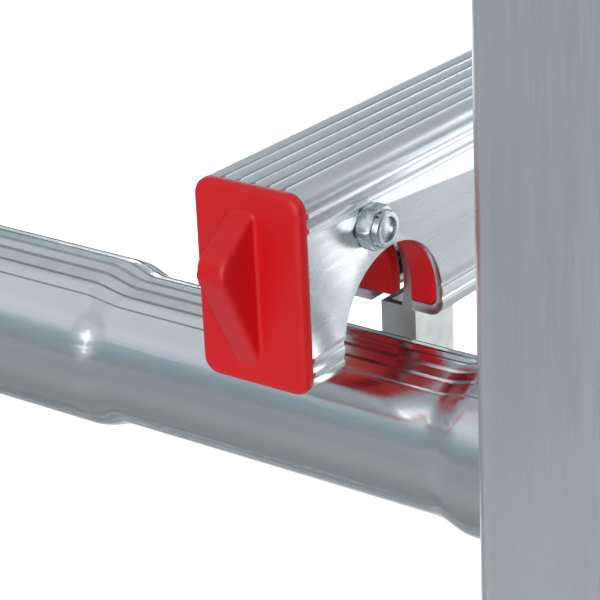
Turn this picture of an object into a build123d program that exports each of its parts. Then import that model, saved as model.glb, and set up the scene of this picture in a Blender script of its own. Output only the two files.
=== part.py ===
from build123d import *
import math
import os

# Two-section extension ladder with a hook-on wall stand-off.  Units are millimetres.
# The origin is on the ground, midway between the two feet and in the plane of the fly
# section's rung axes.  +X is the climber's right, +Y points to the wall, +Z is up.

# ---- driving dimensions ---------------------------------------------------------------
rung_pitch = 280.0          # rung to rung
base_rung_count = 8
fly_rung_count = 8
first_rung_height = 270.0   # ground to the base section's lowest rung
fly_raise_pitches = 1       # fly section's lowest rung above the base section's lowest
base_top_margin = 50.0      # stile above the base section's top rung
fly_top_margin = 150.0      # stile above the fly section's top rung
fly_bottom_margin = 100.0   # stile below the fly section's lowest rung

stile_width = 32.0          # along X
stile_depth = 70.0          # along Y
stile_wall = 2.0
stile_corner = 6.0
fly_inner_half = 174.0      # centre line to the inner face of a fly stile
section_side_gap = 6.0      # fly stile to base stile, along X
section_depth_gap = 6.0     # fly stile to base stile, along Y

rung_radius = 18.0
rung_wall = 1.6
rung_entry = 8.0            # how far a rung reaches inside a stile
rung_hole_gap = 0.05
seat_radius = 16.0          # swaged seats of the fly section's top rung
seat_shoulder = 9.0         # length of the taper from seat to full tube
seat_inner_reach = 63.0     # seat length towards the middle from the arm's outer face
seat_outer_reach = 15.5     # seat length towards the stile from the arm's outer face

arm_width = 25.0
arm_height = 40.0
arm_wall = 1.5
arm_floor = 2.1             # the arm's thicker bottom wall
arm_corner = 3.3
arm_length = 330.0          # plug face to the wall end
arm_stile_gap = 39.3        # arm's outer face to the stile's inner face
groove_count = 5
groove_width = 1.1
groove_depth = 0.45
groove_spacing = 3.5
side_line_height = (4.2, 7.1)   # extruded lines above and below, from the near edge

notch_centre_y = 28.8       # from the plug's face
notch_centre_z = 4.9        # above the arm's underside
notch_radius = 16.6
saddle_gap = 0.4            # saddle to rung seat
saddle_thickness = 3.0
saddle_foot_gap = 0.1
saddle_foot_chamfer = 1.3
saddle_near_width = 6.1    # lining between the latch's slot and the wall towards the stile
saddle_slot = 4.4           # slot between the two halves, where the latch's blade runs
arm_raise = 20.4            # how far the stand-off is lifted off its seats

plug_plate = 2.2
plug_spigot = 6.5
plug_spigot_gap = 0.1
plug_rib_width = 6.2
plug_rib_offset = 1.3       # rib centre from the plug's centre, towards the ladder's middle
plug_rib_peak = 11.2
plug_rib_heights = (4.5, 26.5, 34.8)   # foot, peak and top above the arm's underside

bolt_radius = 2.5
bolt_head_flats = 8.0
bolt_head_height = 3.5
nut_height = 3.5
nut_collar_height = 1.3
nut_collar_radius = 3.75
running_gap = 0.05

latch_pivot = (21.0, 28.1)  # from the plug's face and the arm's underside
latch_blade = 3.2           # thickness of the blade inside the arm
latch_fold_width = 8.4      # the folded channel below the arm, along X
latch_plate = 1.5
latch_boss = 5.5
latch_inner_radius = 19.5
latch_outer_radius = 25.5
latch_front = 47.6          # the channel's web, from the plug's face
latch_back = 61.2
latch_fold_top = 0.6        # channel's top below the arm's underside
latch_tip_height = 4.5
latch_tip_reach = 9.5       # how far the tip reaches forward from the web
latch_tip_gap = 0.7
latch_slot_gap = 0.8
latch_slot_back = 92.0

wall_bar_height = 40.0
wall_bar_depth = 25.0
wall_bar_overhang = 90.3    # past each arm's outer face
buffer_radius = 32.0
buffer_thickness = 24.0
buffer_inset = 40.0
stay_size = 20.0
stay_y = 90.0               # stay leg's centre, from the fly section's rung plane
stay_drop = 185.0           # stay bar's centre below the top rung
stay_pad_width = 28.0
stay_pad_height = 44.0
pad_gap = 0.4

guide_plate = 4.0
guide_height = 120.0
guide_gap = 1.0
guide_lip = 22.0
rivet_radius = 3.0
rivet_head_radius = 5.5
rivet_head_height = 1.8

hook_thickness = 8.0
hook_inset = 8.0            # stile's inner face to the hook's near face
hook_pivot_y = 18.0
hook_pivot_rise = 40.0
hook_pivot_radius = 5.0
hook_rung_gap = 0.4
hook_crown = 6.5
hook_boss = 12.0
hook_drop = 9.0
hook_bracket_plate = 4.0

foot_pivot_height = 58.0
foot_stile_height = 34.0
foot_pad_thickness = 10.0
foot_pad_length = 100.0
foot_pad_width = 52.0
foot_plate = 5.0
foot_ear_gap = 0.4
foot_ear_half = 20.0
foot_bolt_radius = 5.0

cap_plate = 4.0
cap_spigot = 14.0
cap_gap = 0.1

# ---- derived places -------------------------------------------------------------------
fly_outer_half = fly_inner_half + stile_width
base_inner_half = fly_outer_half + section_side_gap
base_outer_half = base_inner_half + stile_width
base_y = stile_depth + section_depth_gap
base_top = first_rung_height + (base_rung_count - 1) * rung_pitch + base_top_margin
fly_first = first_rung_height + fly_raise_pitches * rung_pitch
top_rung_z = fly_first + (fly_rung_count - 1) * rung_pitch
fly_bottom = fly_first - fly_bottom_margin
fly_top = top_rung_z + fly_top_margin

arm_outer = fly_inner_half - arm_stile_gap      # arm's face towards the stile
arm_centre_x = arm_outer - arm_width / 2
arm_front = -notch_centre_y                     # plug's face along Y
arm_back = arm_front + arm_length
arm_bottom = top_rung_z + arm_raise - notch_centre_z
saddle_radius = seat_radius + saddle_gap
notch_z = arm_bottom + notch_centre_z
pivot_y = arm_front + latch_pivot[0]
pivot_z = arm_bottom + latch_pivot[1]

wall_bar_half = arm_outer + wall_bar_overhang
slot_x = arm_outer - arm_wall - plug_spigot_gap - saddle_near_width - saddle_slot / 2
fold_outer = slot_x + latch_blade / 2           # the channel's face towards the stile
fold_inner = fold_outer - latch_fold_width

stay_bar_half = fly_inner_half + stile_width
stay_bar_z = top_rung_z - stay_drop
hook_x = fly_inner_half - hook_inset - hook_thickness / 2
hook_pivot_z = fly_first + hook_pivot_rise

nodes = {}


# ---- helpers --------------------------------------------------------------------------
def block(x0, x1, y0, y1, z0, z1):
    """A box between two corners."""
    size = (x1 - x0, y1 - y0, z1 - z0)
    return Pos((x0 + x1) / 2, (y0 + y1) / 2, (z0 + z1) / 2) * Box(*size)


def rod_x(radius, x0, x1, y, z):
    """A cylinder along X."""
    turned = Rot(0, 90, 0) * Cylinder(radius, x1 - x0)
    return Pos((x0 + x1) / 2, y, z) * turned


def rod_y(radius, y0, y1, x, z):
    """A cylinder along Y."""
    turned = Rot(90, 0, 0) * Cylinder(radius, y1 - y0)
    return Pos(x, (y0 + y1) / 2, z) * turned


def hex_x(flats, x0, x1, y, z):
    """A hexagonal prism along X."""
    profile = RegularPolygon(flats / 2, 6, major_radius=False)
    prism = extrude(profile, x1 - x0)
    return Pos(x0, y, z) * (Rot(0, 90, 0) * prism)


def tube_z(width, depth, wall, corner, z0, z1, x, y):
    """An upright box section with rounded corners."""
    outer = RectangleRounded(width, depth, corner)
    inner = RectangleRounded(width - 2 * wall, depth - 2 * wall, corner - wall)
    return Pos(x, y, z0) * extrude(outer - inner, z1 - z0)


def plate_x(points, x0, x1):
    """A plate of constant thickness along X from an outline of (y, z) points."""
    outline = make_face(Polyline(*[(y, z) for y, z in points], close=True))
    return Pos(x0, 0, 0) * (Plane.YZ * extrude(outline, x1 - x0))


def plate_z(points, z0, z1):
    """A plate or channel of constant height from an outline of (x, y) points."""
    outline = make_face(Polyline(*points, close=True))
    return Pos(0, 0, z0) * extrude(outline, z1 - z0)


def mirrored(solid):
    """The other hand of a right-hand piece."""
    return mirror(solid, about=Plane.YZ)


def add_pair(name, solid):
    """Store a right-hand piece and its left-hand copy."""
    nodes[name + "_right"] = solid
    nodes[name + "_left"] = mirrored(solid)


# ---- ladder sections ------------------------------------------------------------------
def stile(x, y, z0, z1, rung_heights, inner_sign):
    """A hollow stile with a hole in its inner wall for each rung."""
    body = tube_z(stile_width, stile_depth, stile_wall, stile_corner, z0, z1, x, y)
    inner_x = x + inner_sign * stile_width / 2
    for z in rung_heights:
        body -= rod_x(rung_radius + rung_hole_gap, inner_x - stile_corner,
                      inner_x + stile_corner, y, z)
    return body


def plain_rung(half, y, z):
    """A straight tube between two stiles."""
    outer = rod_x(rung_radius, -half - rung_entry, half + rung_entry, y, z)
    inner = rod_x(rung_radius - rung_wall, -half - rung_entry, half + rung_entry, y, z)
    return outer - inner


def seated_rung():
    """The fly section's top rung, swaged down where the stand-off's arms sit."""
    end = fly_inner_half + rung_entry
    seat_out = arm_outer + seat_outer_reach
    seat_in = arm_outer - seat_inner_reach
    half_profile = [
        (0, rung_radius), (seat_in - seat_shoulder, rung_radius), (seat_in, seat_radius),
        (seat_out, seat_radius), (seat_out + seat_shoulder, rung_radius), (end, rung_radius)]
    top = [(-x, r) for x, r in reversed(half_profile[1:])] + half_profile
    inside = [(x, r - rung_wall) for x, r in reversed(top)]
    section = make_face(Polyline(*(top + inside), close=True))
    tube = revolve(section, axis=Axis.X)
    return Pos(0, 0, top_rung_z) * tube


def stile_cap(x, y, z, up):
    """A moulded cap with a spigot inside the stile; up is 1 for a top cap, -1 for a foot."""
    plate = RectangleRounded(stile_width, stile_depth, stile_corner)
    slack = 2 * (stile_wall + cap_gap)
    spigot = RectangleRounded(stile_width - slack, stile_depth - slack,
                              stile_corner - stile_wall)
    cap = extrude(plate, cap_plate * up) + extrude(spigot, -cap_spigot * up)
    return Pos(x, y, z) * cap


def ladder_sections():
    """Stiles, rungs and end caps of both sections."""
    base_x = base_inner_half + stile_width / 2
    fly_x = fly_inner_half + stile_width / 2
    base_heights = [first_rung_height + i * rung_pitch for i in range(base_rung_count)]
    fly_heights = [fly_first + i * rung_pitch for i in range(fly_rung_count)]
    base = stile(base_x, base_y, foot_stile_height, base_top, base_heights, -1)
    base -= rod_x(foot_bolt_radius + running_gap, base_inner_half - 1, base_outer_half + 1,
                  base_y, foot_pivot_height)
    add_pair("base_stile", base)
    add_pair("fly_stile", stile(fly_x, 0, fly_bottom, fly_top, fly_heights, -1))
    nodes["base_rungs"] = Compound(children=[
        plain_rung(base_inner_half, base_y, z) for z in base_heights])
    nodes["fly_rungs"] = Compound(children=[
        plain_rung(fly_inner_half, 0, z) for z in fly_heights[:-1]])
    nodes["fly_top_rung"] = seated_rung()
    add_pair("base_top_cap", stile_cap(base_x, base_y, base_top, 1))
    add_pair("fly_top_cap", stile_cap(fly_x, 0, fly_top, 1))
    add_pair("fly_foot_cap", stile_cap(fly_x, 0, fly_bottom, -1))


# ---- guides between the sections ------------------------------------------------------
def rivet_y(x, z, y_face, direction):
    """A domed rivet with its head on a face that looks along Y."""
    y_head = y_face + direction * rivet_head_height
    y_tail = y_face - direction * (guide_plate + stile_wall)
    shank = rod_y(rivet_radius, min(y_tail, y_face), max(y_tail, y_face), x, z)
    head = rod_y(rivet_head_radius, min(y_head, y_face), max(y_head, y_face), x, z)
    return shank + head


def upper_guide():
    """The base section's channel, which wraps round the fly stile's outside."""
    y_back = base_y - stile_depth / 2
    y_front = -stile_depth / 2 - guide_gap
    x_side = fly_outer_half + guide_gap
    outline = [
        (base_outer_half - stile_corner, y_back), (x_side, y_back),
        (x_side, y_front), (x_side - guide_lip, y_front),
        (x_side - guide_lip, y_front - guide_plate),
        (x_side + guide_plate, y_front - guide_plate),
        (x_side + guide_plate, y_back - guide_plate),
        (base_outer_half - stile_corner, y_back - guide_plate)]
    return plate_z(outline, base_top - guide_height, base_top)


def lower_guide():
    """The fly section's channel, which wraps round the base stile's outside."""
    y_front = stile_depth / 2
    y_back = base_y + stile_depth / 2 + guide_gap
    x_side = base_outer_half + guide_gap
    outline = [
        (fly_inner_half + stile_corner, y_front), (x_side + guide_plate, y_front),
        (x_side + guide_plate, y_back + guide_plate),
        (x_side - guide_lip, y_back + guide_plate), (x_side - guide_lip, y_back),
        (x_side, y_back), (x_side, y_front + guide_plate),
        (fly_inner_half + stile_corner, y_front + guide_plate)]
    return plate_z(outline, fly_bottom, fly_bottom + guide_height)


def guides():
    """Both pairs of guide channels with their rivets."""
    rivet_inset = 25.0
    upper_x = base_inner_half + stile_width / 2
    upper_face = base_y - stile_depth / 2 - guide_plate
    lower_x = fly_inner_half + stile_width / 2
    lower_face = stile_depth / 2 + guide_plate
    upper = upper_guide()
    lower = lower_guide()
    upper_rivets = []
    lower_rivets = []
    for low_z, rivets, x, face, direction in (
            (base_top - guide_height, upper_rivets, upper_x, upper_face, -1),
            (fly_bottom, lower_rivets, lower_x, lower_face, 1)):
        for z in (low_z + rivet_inset, low_z + guide_height - rivet_inset):
            rivets.append(rivet_y(x, z, face, direction))
    for rivet in upper_rivets:
        upper -= rivet
        nodes["base_stile_right"] -= rivet
    for rivet in lower_rivets:
        lower -= rivet
        nodes["fly_stile_right"] -= rivet
    nodes["base_stile_left"] = mirrored(nodes["base_stile_right"])
    nodes["fly_stile_left"] = mirrored(nodes["fly_stile_right"])
    add_pair("upper_guide", upper)
    add_pair("lower_guide", lower)
    nodes["upper_guide_rivets"] = Compound(
        children=upper_rivets + [mirrored(r) for r in upper_rivets])
    nodes["lower_guide_rivets"] = Compound(
        children=lower_rivets + [mirrored(r) for r in lower_rivets])


# ---- rung hooks -----------------------------------------------------------------------
def rung_hook():
    """A swinging claw that drops over a rung of the base section."""
    x0 = hook_x - hook_thickness / 2
    x1 = hook_x + hook_thickness / 2
    bore = rung_radius + hook_rung_gap
    crown = fly_first + bore + hook_crown
    foot = fly_first - hook_drop
    front = base_y - bore - hook_crown
    back = base_y + bore + hook_crown
    reach = math.hypot(base_y - hook_pivot_y, hook_pivot_z - fly_first)
    neck = hook_boss * math.sin(math.radians(45))
    slope = math.atan2(fly_first - hook_pivot_z, base_y - hook_pivot_y)
    outline = [
        (hook_pivot_y - neck, hook_pivot_z - neck), (front, foot),
        (back, foot), (back, crown - hook_crown), (back - hook_crown, crown), (front, crown),
        (hook_pivot_y + neck, hook_pivot_z + neck)]
    plate = plate_x(outline, x0, x1) + rod_x(hook_boss, x0, x1, hook_pivot_y, hook_pivot_z)
    plate -= rod_x(bore, x0 - 1, x1 + 1, base_y, fly_first)
    path = rod_x(reach + bore, x0 - 1, x1 + 1, hook_pivot_y, hook_pivot_z)
    path -= rod_x(reach - bore, x0 - 2, x1 + 2, hook_pivot_y, hook_pivot_z)
    wedge = [(hook_pivot_y, hook_pivot_z)]
    for turn in (0, 45, 90):
        angle = slope - math.radians(turn)
        wedge.append((hook_pivot_y + 2 * reach * math.cos(angle),
                      hook_pivot_z + 2 * reach * math.sin(angle)))
    plate -= path & plate_x(wedge, x0 - 1, x1 + 1)
    return plate - rod_x(hook_pivot_radius + running_gap, x0 - 1, x1 + 1,
                         hook_pivot_y, hook_pivot_z)


def hook_bracket():
    """The plate on the stile that carries the hook's pin."""
    margin = 18.0
    return block(fly_inner_half - hook_bracket_plate, fly_inner_half,
                 hook_pivot_y - 2 * margin, hook_pivot_y + margin - stile_wall,
                 hook_pivot_z - margin, hook_pivot_z + margin)


def hook_pin():
    """The pin, with a collar behind the hook and a head in front of it."""
    head = 3.0
    gap = 0.5
    hook_far = hook_x - hook_thickness / 2
    hook_near = hook_x + hook_thickness / 2
    bracket_face = fly_inner_half - hook_bracket_plate
    shank = rod_x(hook_pivot_radius, hook_far - gap, fly_inner_half, hook_pivot_y,
                  hook_pivot_z)
    cap = rod_x(hook_pivot_radius + head, hook_far - gap - head, hook_far - gap,
                hook_pivot_y, hook_pivot_z)
    collar = rod_x(hook_pivot_radius + head, hook_near + gap, bracket_face,
                   hook_pivot_y, hook_pivot_z)
    return shank + cap + collar


def hook_rivets():
    """Two rivets through the bracket into the stile's inner wall."""
    rivets = []
    face = fly_inner_half - hook_bracket_plate
    for z in (hook_pivot_z - 10, hook_pivot_z + 10):
        y = hook_pivot_y - 28
        shank = rod_x(rivet_radius, face, fly_inner_half + stile_wall, y, z)
        head = rod_x(rivet_head_radius, face - rivet_head_height, face, y, z)
        rivets.append(shank + head)
    return rivets


def rung_hooks():
    """Hooks, pins, brackets and rivets on both fly stiles."""
    bracket = hook_bracket()
    pin = hook_pin()
    bracket -= rod_x(hook_pivot_radius, bracket.bounding_box().min.X - 1,
                     fly_inner_half + 1, hook_pivot_y, hook_pivot_z)
    rivets = hook_rivets()
    stile_body = nodes["fly_stile_right"]
    for rivet in rivets:
        bracket -= rivet
        stile_body -= rivet
    nodes["fly_stile_right"] = stile_body
    nodes["fly_stile_left"] = mirrored(stile_body)
    add_pair("rung_hook", rung_hook())
    add_pair("rung_hook_bracket", bracket)
    add_pair("rung_hook_pin", pin)
    nodes["rung_hook_rivets"] = Compound(
        children=rivets + [mirrored(r) for r in rivets])


# ---- swivel feet ----------------------------------------------------------------------
def feet():
    """Shoe, rubber pad and pivot bolt under each base stile."""
    x = base_inner_half + stile_width / 2
    plate_bottom = foot_pad_thickness
    plate_top = plate_bottom + foot_plate
    pad_half = foot_pad_width / 2
    shoe = block(x - pad_half, x + pad_half, base_y - foot_pad_length / 2,
                 base_y + foot_pad_length / 2, plate_bottom, plate_top)
    pad = block(x - pad_half, x + pad_half, base_y - foot_pad_length / 2,
                base_y + foot_pad_length / 2, 0, plate_bottom)
    tread_gap = 4.0
    tread_depth = 2.5
    treads = 6
    tread_pitch = foot_pad_length / treads
    for i in range(1, treads):
        y = base_y - foot_pad_length / 2 + i * tread_pitch
        pad -= block(x - pad_half - 1, x + pad_half + 1, y - tread_gap / 2,
                     y + tread_gap / 2, -1, tread_depth)
    for side in (-1, 1):
        inner = x + side * (stile_width / 2 + foot_ear_gap)
        outer = inner + side * foot_plate
        x0, x1 = min(inner, outer), max(inner, outer)
        shoe += block(x0, x1, base_y - foot_ear_half, base_y + foot_ear_half,
                      plate_bottom, foot_pivot_height)
        shoe += rod_x(foot_ear_half, x0, x1, base_y, foot_pivot_height)
    shoe -= rod_x(foot_bolt_radius + running_gap, x - pad_half - 1, x + pad_half + 1,
                  base_y, foot_pivot_height)
    reach = stile_width / 2 + foot_ear_gap + foot_plate + foot_ear_gap
    head = 6.0
    bolt = rod_x(foot_bolt_radius, x - reach, x + reach + head, base_y, foot_pivot_height)
    bolt += hex_x(foot_bolt_radius * 3.2, x - reach - head, x - reach, base_y,
                  foot_pivot_height)
    nut = hex_x(foot_bolt_radius * 3.2, x + reach, x + reach + head, base_y,
                foot_pivot_height)
    nut -= rod_x(foot_bolt_radius, x, x + reach + head + 1, base_y, foot_pivot_height)
    add_pair("foot_shoe", shoe)
    add_pair("foot_pad", pad)
    add_pair("foot_bolt", bolt)
    add_pair("foot_nut", nut)


# ---- stand-off arms -------------------------------------------------------------------
def arm_cavity(gap):
    """The arm's hollow seen from its end, smaller by a gap all round."""
    width = arm_width - 2 * (arm_wall + gap)
    height = arm_height - arm_wall - arm_floor - 2 * gap
    return Pos(0, (arm_floor - arm_wall) / 2) * RectangleRounded(width, height,
                                                                 arm_corner - arm_wall)


def box_arm():
    """The extruded arm with ribbed top, notch for the rung and slot for the latch."""
    outer = RectangleRounded(arm_width, arm_height, arm_corner)
    section = outer - arm_cavity(0)
    for i in range(groove_count):
        offset = (i - (groove_count - 1) / 2) * groove_spacing
        section -= Pos(offset, arm_height / 2) * Rectangle(groove_width, 2 * groove_depth)
    for side in (-1, 1):
        for height in side_line_height:
            for z in (height - arm_height / 2, arm_height / 2 - height):
                line = Rectangle(groove_depth, groove_width)
                section -= Pos(side * arm_width / 2, z) * line
    length = arm_length - plug_plate - wall_bar_depth
    profile = Plane.XZ * section
    arm = extrude(profile, -length)
    arm = Pos(arm_centre_x, arm_front + plug_plate, arm_bottom + arm_height / 2) * arm
    x0 = arm_outer - arm_width - 1
    x1 = arm_outer + 1
    arm -= rod_x(notch_radius, x0, x1, 0, notch_z)
    arm -= block(x0, x1, -notch_radius, notch_radius, arm_bottom - 1, notch_z)
    arm -= block(fold_inner - latch_slot_gap, fold_outer + latch_slot_gap, 0,
                 arm_front + latch_slot_back, arm_bottom - 1, arm_bottom + arm_corner)
    return arm - rod_x(bolt_radius, x0, x1, pivot_y, pivot_z)


def end_plug():
    """The moulded plug with its wedge-shaped rib."""
    plate = Plane.XZ * RectangleRounded(arm_width, arm_height, arm_corner)
    spigot = Plane.XZ * arm_cavity(plug_spigot_gap)
    plug = extrude(plate, -plug_plate) + extrude(spigot, -plug_plate - plug_spigot)
    front_edges = plug.edges().group_by(Axis.Y)[0]
    plug = fillet(front_edges, 0.9)
    plug = Pos(arm_centre_x, arm_front, arm_bottom + arm_height / 2) * plug
    foot, peak, top = plug_rib_heights
    rib_x = arm_centre_x - plug_rib_offset
    outline = [
        (arm_front + 1, arm_bottom + foot), (arm_front, arm_bottom + foot),
        (arm_front - plug_rib_peak, arm_bottom + peak), (arm_front, arm_bottom + top),
        (arm_front + 1, arm_bottom + top)]
    rib = plate_x(outline, rib_x - plug_rib_width / 2, rib_x + plug_rib_width / 2)
    crest = rib.edges().filter_by(Axis.X).group_by(Axis.Y)[0]
    rib = fillet(crest, 4.0)
    return plug + rib


def saddle():
    """The plastic lining of the notch: an arch each side of the latch's blade."""
    halves = []
    inner_wall = arm_width / 2 - arm_wall - plug_spigot_gap
    foot = arm_bottom + arm_floor + saddle_foot_gap
    outer = saddle_radius + saddle_thickness
    spans = ((arm_centre_x - inner_wall, slot_x - saddle_slot / 2),
             (slot_x + saddle_slot / 2, arm_centre_x + inner_wall))
    for x0, x1 in spans:
        half = rod_x(outer, x0, x1, 0, notch_z) + block(x0, x1, -outer, outer, foot, notch_z)
        half -= block(x0 - 1, x1 + 1, -outer - 1, outer + 1, foot - outer, foot)
        half -= rod_x(saddle_radius, x0 - 1, x1 + 1, 0, notch_z)
        half -= block(x0 - 1, x1 + 1, -saddle_radius, saddle_radius, foot - 1, notch_z)
        half -= rod_x(bolt_radius + plug_spigot_gap, x0 - 1, x1 + 1, pivot_y, pivot_z)
        wall_side = Axis.X if x1 > slot_x + saddle_slot else -Axis.X
        feet_edges = half.edges().filter_by(Axis.Y).group_by(Axis.Z)[0]
        half = chamfer(feet_edges.group_by(wall_side)[-1], saddle_foot_chamfer)
        halves.append(half)
    return Compound(children=halves)


def latch():
    """The latch: a blade over the notch, and a folded channel down behind the rung."""
    front = arm_front + latch_front
    back = arm_front + latch_back
    fold_top = arm_bottom - latch_fold_top
    tip_top = top_rung_z - seat_radius - latch_tip_gap
    tip_bottom = tip_top - latch_tip_height
    corner = 4.0
    blade_x0 = slot_x - latch_blade / 2
    arc = []
    for degrees in (90, 75, 60, 45):
        angle = math.radians(degrees)
        arc.append((latch_outer_radius * math.cos(angle),
                    notch_z + latch_outer_radius * math.sin(angle)))
    outline = [(pivot_y, pivot_z - latch_boss * 0.6), (pivot_y, pivot_z + latch_boss * 0.8)]
    outline += arc
    outline += [(back, notch_z + 3.0), (back, tip_bottom + corner), (front, tip_bottom + corner),
                (front, fold_top), (front, notch_z), (0, notch_z)]
    blade = plate_x(outline, blade_x0, fold_outer)
    blade -= rod_x(latch_inner_radius, blade_x0 - 1, fold_outer + 1, 0, notch_z)
    blade += rod_x(latch_boss, blade_x0, fold_outer, pivot_y, pivot_z)
    blade -= rod_x(bolt_radius + running_gap, blade_x0 - 1, fold_outer + 1, pivot_y, pivot_z)
    blade -= block(blade_x0 - 1, fold_outer - latch_plate, front + latch_plate, back + 1,
                   tip_top, fold_top)
    tip_front = front - latch_tip_reach
    fold_outline = [
        (front, fold_top), (back, fold_top), (back, tip_bottom + corner),
        (back - corner, tip_bottom), (tip_front, tip_bottom), (tip_front, tip_top),
        (front, tip_top)]
    fold = plate_x(fold_outline, fold_inner, fold_outer)
    fold -= block(fold_inner + latch_plate, fold_outer - latch_plate, front + latch_plate,
                  back + 1, tip_top, fold_top + 1)
    return blade + fold


def latch_bolt():
    """The bolt that carries the latch."""
    bolt_end = arm_outer + 4.2
    inner_face = arm_outer - arm_width
    shank = rod_x(bolt_radius, inner_face, bolt_end, pivot_y, pivot_z)
    head = hex_x(bolt_head_flats, inner_face - bolt_head_height, inner_face, pivot_y, pivot_z)
    return shank + head


def latch_nut():
    """The self-locking nut with its round collar."""
    hexagon = hex_x(bolt_head_flats, arm_outer, arm_outer + nut_height, pivot_y, pivot_z)
    collar = rod_x(nut_collar_radius, arm_outer + nut_height,
                   arm_outer + nut_height + nut_collar_height, pivot_y, pivot_z)
    nut = hexagon + collar
    return nut - rod_x(bolt_radius, arm_outer - 1, arm_outer + 10, pivot_y, pivot_z)


def stand_off():
    """Arms and what is on them, the wall bar with its buffers, and the stay frame."""
    add_pair("arm", box_arm())
    add_pair("end_plug", end_plug())
    add_pair("saddle", saddle())
    add_pair("latch", latch())
    add_pair("latch_bolt", latch_bolt())
    add_pair("latch_nut", latch_nut())
    wall_bar()
    stay_frame()


def wall_bar():
    """The bar across the wall end, its screws and its two rubber buffers."""
    z = arm_bottom + arm_height / 2
    y0 = arm_back - wall_bar_depth
    outer = RectangleRounded(wall_bar_depth, wall_bar_height, arm_corner)
    inner = RectangleRounded(wall_bar_depth - 2 * arm_wall, wall_bar_height - 2 * arm_wall,
                             arm_corner - arm_wall)
    section = Plane.YZ * (outer - inner)
    bar = Pos(-wall_bar_half, y0 + wall_bar_depth / 2, z) * extrude(section,
                                                                    2 * wall_bar_half)
    caps = []
    screws = []
    screw_radius = 3.0
    head_radius = 5.5
    head_height = 3.3
    for side in (-1, 1):
        face = RectangleRounded(wall_bar_depth, wall_bar_height, arm_corner)
        cap = extrude(Plane.YZ * face, cap_plate * side)
        caps.append(Pos(side * wall_bar_half, y0 + wall_bar_depth / 2, z) * cap)
        for dz in (-9, 9):
            screw = rod_y(screw_radius, y0 - 12, arm_back, side * arm_centre_x, z + dz)
            screw += rod_y(head_radius, arm_back, arm_back + head_height,
                           side * arm_centre_x, z + dz)
            screws.append(screw)
    for screw in screws:
        bar -= screw
    nodes["wall_bar"] = bar
    nodes["wall_bar_caps"] = Compound(children=caps)
    nodes["wall_bar_screws"] = Compound(children=screws)
    buffer_x = wall_bar_half - buffer_inset
    stem = 12.0
    buffer = rod_y(buffer_radius, arm_back, arm_back + buffer_thickness, buffer_x, z)
    rim = buffer.edges().group_by(Axis.Y)[-1]
    buffer = fillet(rim, 5.0)
    recess = 5.0
    buffer -= rod_y(stem, arm_back + buffer_thickness - recess,
                    arm_back + buffer_thickness + 1, buffer_x, z)
    add_pair("wall_buffer", buffer)


def stay_frame():
    """Legs and a cross bar that bear on the backs of the fly stiles below the arms."""
    half = stay_size / 2
    bar_top = stay_bar_z + half
    leg = tube_z(stay_size, stay_size, arm_wall, arm_corner, bar_top, arm_bottom,
                 arm_centre_x, stay_y)
    add_pair("stay_leg", leg)
    outer = RectangleRounded(stay_size, stay_size, arm_corner)
    wall = stay_size - 2 * arm_wall
    inner = RectangleRounded(wall, wall, arm_corner - arm_wall)
    section = Plane.YZ * (outer - inner)
    nodes["stay_bar"] = Pos(-stay_bar_half, stay_y, stay_bar_z) * extrude(
        section, 2 * stay_bar_half)
    pad_front = stile_depth / 2 + pad_gap
    pad_x = fly_inner_half + stile_width / 2
    pad = block(pad_x - stay_pad_width / 2, pad_x + stay_pad_width / 2, pad_front,
                stay_y - half, stay_bar_z - stay_pad_height / 2,
                stay_bar_z + stay_pad_height / 2)
    pad = fillet(pad.edges().filter_by(Axis.Y), 4.0)
    add_pair("stay_pad", pad)


# ---- build and write ------------------------------------------------------------------
ladder_sections()
guides()
rung_hooks()
feet()
stand_off()

os.makedirs("parts", exist_ok=True)
for name, shape in nodes.items():
    export_step(shape, f"parts/{name}.step")
    print(name)
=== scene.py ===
"""Looks of a two-section extension ladder with a hook-on wall stand-off.

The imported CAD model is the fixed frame.  This script dresses its nodes, replaces the
pieces that need finer shapes, and sets up a plain studio and the camera.
"""

import logging
import math
from dataclasses import dataclass
from enum import Enum
from typing import Callable, Iterable, Sequence

import bmesh
import bpy
from mathutils import Matrix, Vector


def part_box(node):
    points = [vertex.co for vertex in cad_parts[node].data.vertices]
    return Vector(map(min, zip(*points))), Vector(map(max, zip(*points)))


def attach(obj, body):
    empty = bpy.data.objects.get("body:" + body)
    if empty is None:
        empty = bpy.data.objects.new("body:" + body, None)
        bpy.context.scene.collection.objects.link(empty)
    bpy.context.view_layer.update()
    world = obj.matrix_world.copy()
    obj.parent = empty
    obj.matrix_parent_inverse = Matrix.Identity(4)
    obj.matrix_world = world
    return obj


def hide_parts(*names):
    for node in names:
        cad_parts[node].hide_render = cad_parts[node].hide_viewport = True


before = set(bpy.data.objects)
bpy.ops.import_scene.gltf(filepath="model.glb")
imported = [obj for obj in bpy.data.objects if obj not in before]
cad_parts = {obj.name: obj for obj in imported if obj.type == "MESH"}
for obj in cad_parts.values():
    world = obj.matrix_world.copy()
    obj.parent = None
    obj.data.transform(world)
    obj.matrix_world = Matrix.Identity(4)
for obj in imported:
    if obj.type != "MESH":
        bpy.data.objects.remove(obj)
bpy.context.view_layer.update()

LOG = logging.getLogger("ladder")
MM = 0.001
RUNG_PITCH = 0.280
SIDES = ("right", "left")


class Run(Enum):
    """The row axis along which a length of metal was extruded or drawn."""

    ACROSS = (0.04, 1.0, 1.0)
    DEEP = (1.0, 0.04, 1.0)
    UPRIGHT = (1.0, 1.0, 0.04)


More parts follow.
